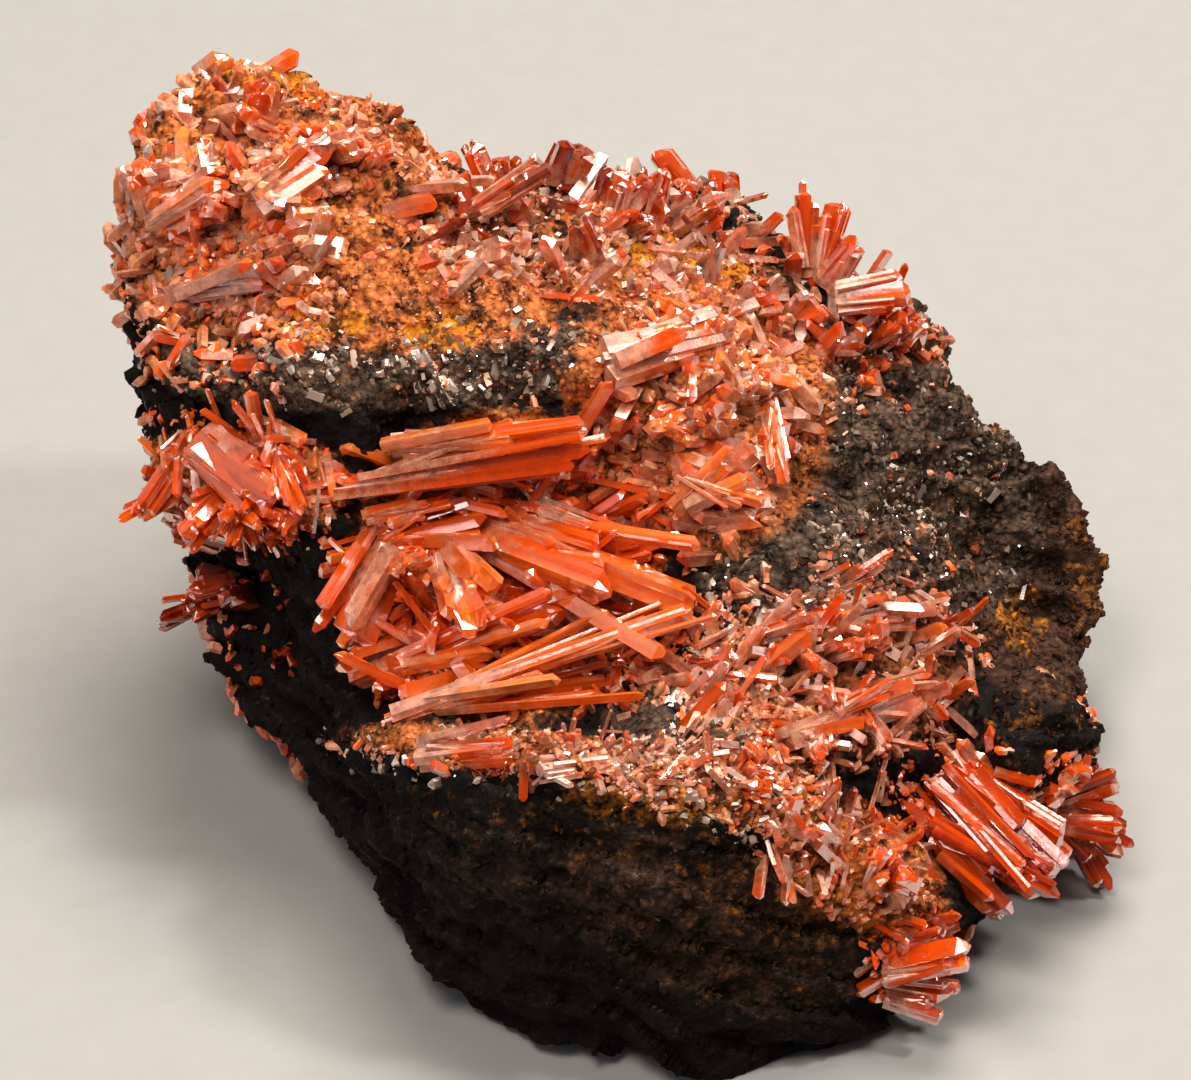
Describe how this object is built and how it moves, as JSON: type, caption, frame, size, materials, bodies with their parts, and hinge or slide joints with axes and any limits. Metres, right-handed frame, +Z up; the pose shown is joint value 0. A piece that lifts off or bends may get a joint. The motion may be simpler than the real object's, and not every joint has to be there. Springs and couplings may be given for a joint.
{
  "type": "crocoite on matrix",
  "caption": "Hand specimen of brown-black gossan with a sloping show face: a hollow of crossing orange-red crocoite prisms, ringed by smaller crystal clusters. Rests on a flat base.",
  "frame": {"origin": "on the flat rest face, under the middle of the show face as it is seen", "axes": "+X to the right across the show face, -Y towards the viewer of the show face, +Z up from the rest face"},
  "size_m": [0.056, 0.0532, 0.0356],
  "materials": {
    "gossan": "rough, earthy, brown-black with ochre and rust patches",
    "crocoite": "glassy, translucent orange-red"
  },
  "bodies": {
    "root": {"gossan_matrix": "gossan", "vug_crystals": "crocoite", "left_rim_crystals": "crocoite", "left_flank_crystals": "crocoite", "summit_crystals": "crocoite", "ridge_crystals": "crocoite", "shoulder_spray": "crocoite", "ledge_crystals": "crocoite", "right_slope_crystals": "crocoite", "front_lip_crystals": "crocoite", "fan_crystals": "crocoite", "corner_crystals": "crocoite", "foot_crystals": "crocoite", "back_crystals": "crocoite"}
  },
  "joints": []
}
